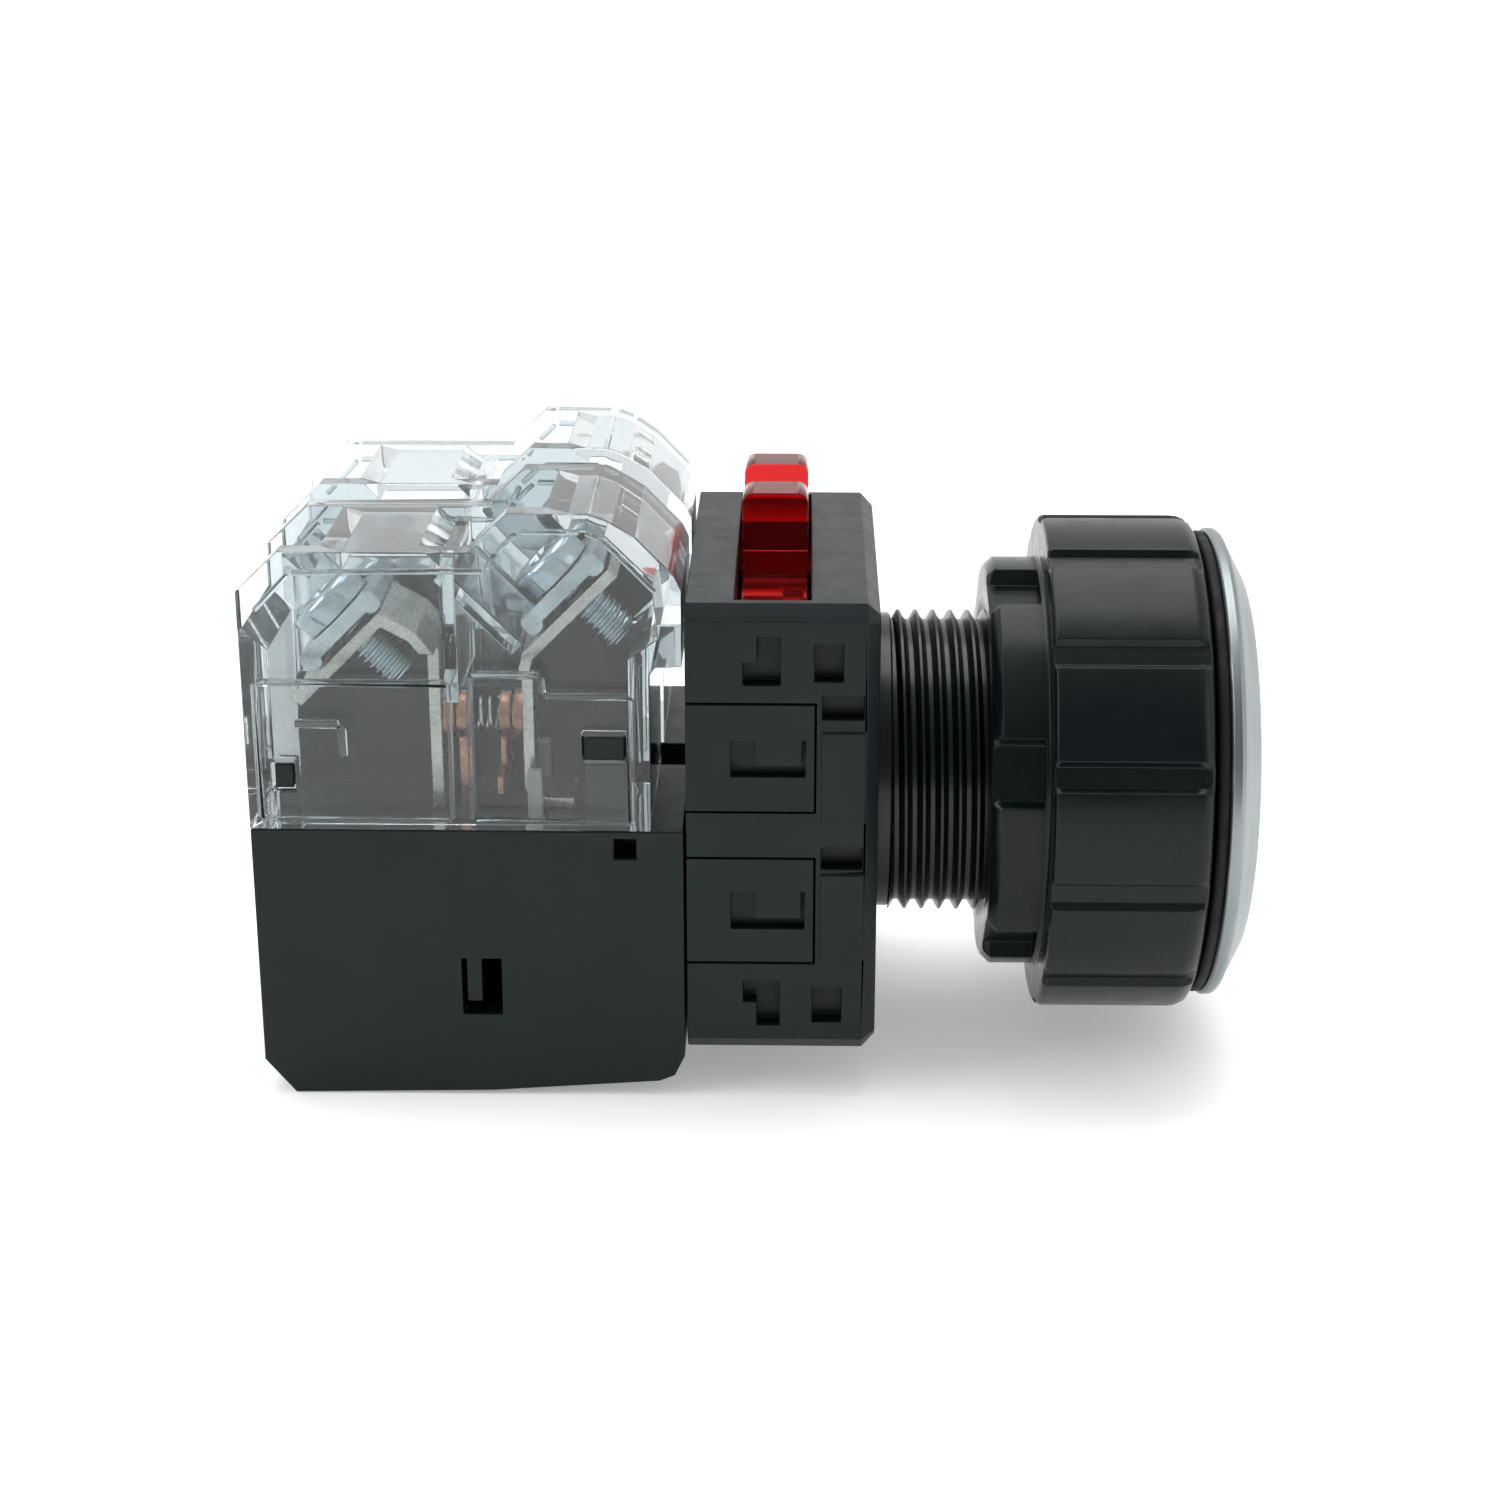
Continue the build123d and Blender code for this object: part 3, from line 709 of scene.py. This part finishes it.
nut_profile = [
    (nut_high.x, barrel_r + 0.6),
    (nut_high.x, collar_r - 1.0),
    (nut_high.x - 0.08, collar_r - 0.7),
    (nut_high.x - 0.35, collar_r - 0.3),
    (nut_high.x - 0.95, collar_r - 0.05),
    (nut_high.x - 1.5, collar_r),
    (collar_x + 0.5, collar_r),
    (collar_x + 0.15, collar_r - 0.12),
    (collar_x, collar_r - 0.45),
    (collar_x, boss_r + 0.25),
    (collar_x - 0.06, boss_r + 0.07),
    (collar_x - 0.25, boss_r),
    (collar_x - 0.40, boss_r),
    (collar_x - 0.44, boss_r),
    (nut_low.x + 0.75, boss_r),
    (nut_low.x + 0.10, boss_r - 0.62),
    (nut_low.x, boss_r - 0.85),
    (nut_low.x, barrel_r + 1.1),
    (nut_low.x + 0.15, barrel_r + 0.9),
    (nut_low.x + 0.8, barrel_r + 0.1),
    (nut_high.x - 0.5, barrel_r + 0.1),
]
bm = bmesh.new()
# a spin starts at +Z, and the grooves are counted upward from -Y
spin_ring(bm, nut_profile, NUT_STEPS, start=QUARTER_TURN - first_groove)
for vert in bm.verts:
    radius = math.hypot(vert.co.y, vert.co.z)
    angle = math.atan2(vert.co.z, -vert.co.y) - first_groove
    from_groove = from_nearest(angle, GRIP_GROOVES)
    from_notch = from_nearest(angle, WRENCH_NOTCHES)
    target = radius
    if abs(from_groove) < groove_half and vert.co.x > collar_x - 0.01:
        target = min(radius, collar_r - groove_depth)
    if abs(math.sin(from_notch)) * radius < notch_half and vert.co.x < collar_x - 0.42:
        target = min(radius, notch_floor / math.cos(from_notch))
    vert.co.y *= target / radius
    vert.co.z *= target / radius
nut = finish_piece("fixing_nut", bm, "ring_nut")
soften(nut, 0.07, limit=38.0)
print("nut collar", 2 * collar_r, "mm, boss", 2 * boss_r, "mm,", len(nut.data.polygons), "faces")

# %% [markdown]
# ## Softened mouldings
# The adapter, the contact unit bases, the lock ring and the bent strips already have the right
# shape in the CAD model, but every corner there is knife sharp, and a real moulding's never is. A
# copy of each is merged into one skin, and its flat areas are dissolved and then divided again into
# well shaped triangles, because a bevel can turn a large face with windows in it inside out. A
# Bevel modifier then rounds the corners, so that they catch the light in thin lines.


# %% Helper for softened copies
FLAT_ANGLE = math.radians(0.6)


def merged_copy(node, split=True):
    """A bmesh of a CAD node in metres, merged; split gives its flat areas well shaped triangles."""
    bm = bmesh.new()
    bm.from_mesh(nodes[node].data)
    bmesh.ops.remove_doubles(bm, verts=bm.verts, dist=MERGE_MM * MM)
    bmesh.ops.dissolve_limit(bm, angle_limit=FLAT_ANGLE, verts=bm.verts, edges=bm.edges)
    if split:
        bmesh.ops.triangulate(bm, faces=bm.faces, quad_method="BEAUTY", ngon_method="BEAUTY")
    return bm


def softened(node, name, width, limit=15.0, segments=2, split=True):
    piece = finish_piece(name, merged_copy(node, split), node, scale=1.0)
    soften(piece, width, limit, segments)
    return piece


print("copy helper ready")

# %% Adapter, bases and lock ring
softened("adapter_front", "adapter_housing", 0.10)
softened("adapter_rear", "adapter_back", 0.08)
softened("lock_ring", "lock_lever", 0.12, limit=40.0, split=False)
for unit in ("near", "far"):
    softened(f"unit_base_{unit}", f"contact_base_{unit}", 0.12)
print("mouldings softened")

# %% Strips, clamps and moving contacts
for unit in ("near", "far"):
    for place in ("rear", "front"):
        softened(f"{place}_terminal_{unit}", f"{place}_strip_{unit}", 0.10)
    for place in ("rear", "front"):
        softened(f"{place}_clamp_{unit}", f"{place}_saddle_{unit}", 0.08, limit=40.0, split=False)
    softened(f"moving_contact_{unit}", f"moving_blade_{unit}", 0.04, limit=40.0, split=False)
    softened(f"still_contact_{unit}", f"still_blade_{unit}", 0.04, limit=40.0, split=False)
    softened(f"plunger_{unit}", f"push_slide_{unit}", 0.07)
print("metal parts softened")

# %% [markdown]
# ## The clear covers
# Each cover is a softened copy too. Its side faces carry low raised ribs that frame the two
# chambers, and a plain corner mark. A rib is a long thin block, laid from one point to the next and
# sunk into the wall, so that only its rounded top stands proud. It stops half its width short of
# each point, because blocks of clear plastic that overlap show as dark spots.

# %% Clear covers
RIB_WIDTH = 0.42
RIB_HEIGHT = 0.20
RIB_ROOT = 0.3
MARK_WIDTH = 0.6
FRAME_RIBS = [
    [(-72.6, 1.1), (-72.6, 12.2), (-57.9, 12.2), (-57.9, 1.1), (-72.6, 1.1)],
    [(-56.4, 12.9), (-50.9, 12.9), (-50.9, 11.2), (-44.2, 11.2), (-44.2, 1.0), (-56.4, 1.0),
     (-56.4, 12.9)],
    [(-72.3, 17.6), (-69.4, 20.7), (-54.9, 20.9), (-54.0, 22.4), (-52.4, 23.9), (-47.6, 23.9),
     (-46.2, 23.3), (-42.2, 19.2)],
]
CORNER_MARK = [(-69.9, 8.9), (-66.0, 8.9), (-66.0, 6.0)]


def add_rib(bm, start, end, face_y, outward, width):
    """A thin block in metres from one (x, z) point to another, sunk in a side face."""
    span = Vector((end[0] - start[0], 0, end[1] - start[1]))
    middle_y = face_y + outward * (RIB_HEIGHT - RIB_ROOT) / 2
    middle = Vector(((start[0] + end[0]) / 2, middle_y, (start[1] + end[1]) / 2))
    lie = Matrix.Translation(middle * MM) @ Matrix.Rotation(-math.atan2(span.z, span.x), 4, "Y")
    depth = RIB_HEIGHT + RIB_ROOT
    size = Matrix.Diagonal(((span.length - width) * MM, depth * MM, width * MM, 1))
    bmesh.ops.create_cube(bm, size=1.0, matrix=lie @ size)


for unit in ("near", "far"):
    node = f"unit_cover_{unit}"
    cover_low, cover_high = box_mm(node)
    bm = merged_copy(node)
    for face_y, outward in ((cover_low.y, -1), (cover_high.y, 1)):
        for path in FRAME_RIBS:
            for start, end in zip(path, path[1:]):
                add_rib(bm, start, end, face_y, outward, RIB_WIDTH)
        for start, end in zip(CORNER_MARK, CORNER_MARK[1:]):
            add_rib(bm, start, end, face_y, outward, MARK_WIDTH)
    cover = finish_piece(f"clear_cover_{unit}", bm, node, scale=1.0)
    soften(cover, 0.12, limit=15.0)
print("covers", len(cover.data.polygons), "faces each")

# %% [markdown]
# ## Terminal screws
# The screw head with its cross recess is cut from the CAD screw with a bisect plane just under the
# head and closed again. The shank is made new as a fine helical thread, because its end shows
# below the strip.

# %% Terminal screws
SCREW_R = 1.73
SCREW_PITCH = 0.6
THREAD_DEPTH = 0.33
POINT_TAPER = 0.8
SEATS = {"rear": (-65.4, 14.1), "front": (-48.5, 17.1)}
SHANK = (-4.6, 2.6)
HEAD_UNDERSIDE = 2.34

for place, (seat_x, seat_z) in SEATS.items():
    for unit in ("near", "far"):
        node = f"{place}_screw_{unit}"
        screw_low, screw_high = box_mm(node)
        seat = Vector((seat_x, (screw_low.y + screw_high.y) / 2, seat_z))
        lean = Matrix.Rotation(-math.pi / 4, 4, "Y")
        axis = lean @ Vector((0, 0, 1))
        bm = merged_copy(node)
        bmesh.ops.bisect_plane(bm, geom=all_parts(bm), dist=1e-7, plane_no=axis,
                               plane_co=(seat + axis * HEAD_UNDERSIDE) * MM, clear_inner=True)
        bmesh.ops.holes_fill(bm, edges=open_edges(bm))
        shank = bmesh.new()
        rims = add_thread(shank, *SHANK, SCREW_R, SCREW_R - THREAD_DEPTH, SCREW_PITCH, 32)
        bmesh.ops.holes_fill(shank, edges=rims[0] + rims[1])
        for vert in shank.verts:
            if vert.co.x < SHANK[0] + 0.01:
                vert.co.yz *= POINT_TAPER
        lay = Matrix.Translation(seat * MM) @ lean @ Matrix.Rotation(-QUARTER_TURN, 4, "Y")
        bmesh.ops.transform(shank, matrix=lay @ Matrix.Diagonal((MM, MM, MM, 1)), verts=shank.verts)
        add_mesh_of(bm, shank)
        sharpen(finish_piece(f"{place}_terminal_screw_{unit}", bm, node, scale=1.0), 30)
print("screws threaded, pitch", SCREW_PITCH, "mm")

# %% [markdown]
# ## Contact rivets
# The copper rivets have a slightly domed face, which is where the current passes, and a rounded
# rim. Each is a short spun profile at the place of its CAD node.

# %% Contact rivets
for place, facing in (("rear", 1), ("front", -1)):
    for unit in ("near", "far"):
        node = f"{place}_tip_{unit}"
        tip_low, tip_high = box_mm(node)
        centre = (tip_low + tip_high) / 2
        tip_r = (tip_high.z - tip_low.z) / 2
        half = (tip_high.x - tip_low.x) / 2
        profile = [(-half, 0.0), (-half, tip_r - 0.08), (-half + 0.08, tip_r), (half - 0.42, tip_r),
                   (half - 0.16, tip_r - 0.16), (half - 0.06, tip_r - 0.55), (half, 0.0)]
        bm = bmesh.new()
        spin_ring(bm, profile, 64, closed=False)
        bmesh.ops.scale(bm, verts=bm.verts, vec=(facing, 1, 1))
        bmesh.ops.translate(bm, verts=bm.verts, vec=centre)
        sharpen(finish_piece(f"{place}_rivet_{unit}", bm, node), 40)
print("rivets", round(2 * tip_r, 1), "mm across")

# %% [markdown]
# ## Springs
# A spring is a small ring of wire that is spun and moved along the axis at the same time.


# %% Springs
STEPS_PER_TURN = 28


def add_spring(node, name, wire_r, turns):
    """A coil in place of a CAD spring."""
    low, high = box_mm(node)
    centre = (low + high) / 2
    mean_r = (high.z - low.z) / 2 - wire_r
    length = high.x - low.x - 2 * wire_r
    steps = STEPS_PER_TURN * turns
    bm = bmesh.new()
    first = Matrix.Translation((-length / 2, 0, mean_r)) @ Matrix.Rotation(QUARTER_TURN, 4, "X")
    bmesh.ops.create_circle(bm, segments=10, radius=wire_r, matrix=first)
    bmesh.ops.spin(bm, geom=bm.verts[:] + bm.edges[:], cent=(0, 0, 0), axis=ALONG_X,
                   angle=turns * FULL_TURN, steps=steps, dvec=(length / steps, 0, 0))
    bmesh.ops.holes_fill(bm, edges=open_edges(bm))
    bmesh.ops.translate(bm, verts=bm.verts, vec=centre)
    spring = finish_piece(name, bm, node)
    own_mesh(spring)


add_spring("return_spring", "return_coil", 0.45, 7)
for unit in ("near", "far"):
    add_spring(f"contact_spring_{unit}", f"contact_coil_{unit}", 0.16, 3)
    add_spring(f"plunger_spring_{unit}", f"plunger_coil_{unit}", 0.2, 7)
print("five springs")

# %% [markdown]
# ## The rest
# The parts that are left sit inside the barrel, and their CAD shape is already right. They stay as
# they are and only get their finish.

# %% Dress the CAD nodes
for name, node in nodes.items():
    node.data.materials.clear()
    node.data.materials.append(finishes[slot_of[name]])
print("dressed", len(nodes), "nodes")
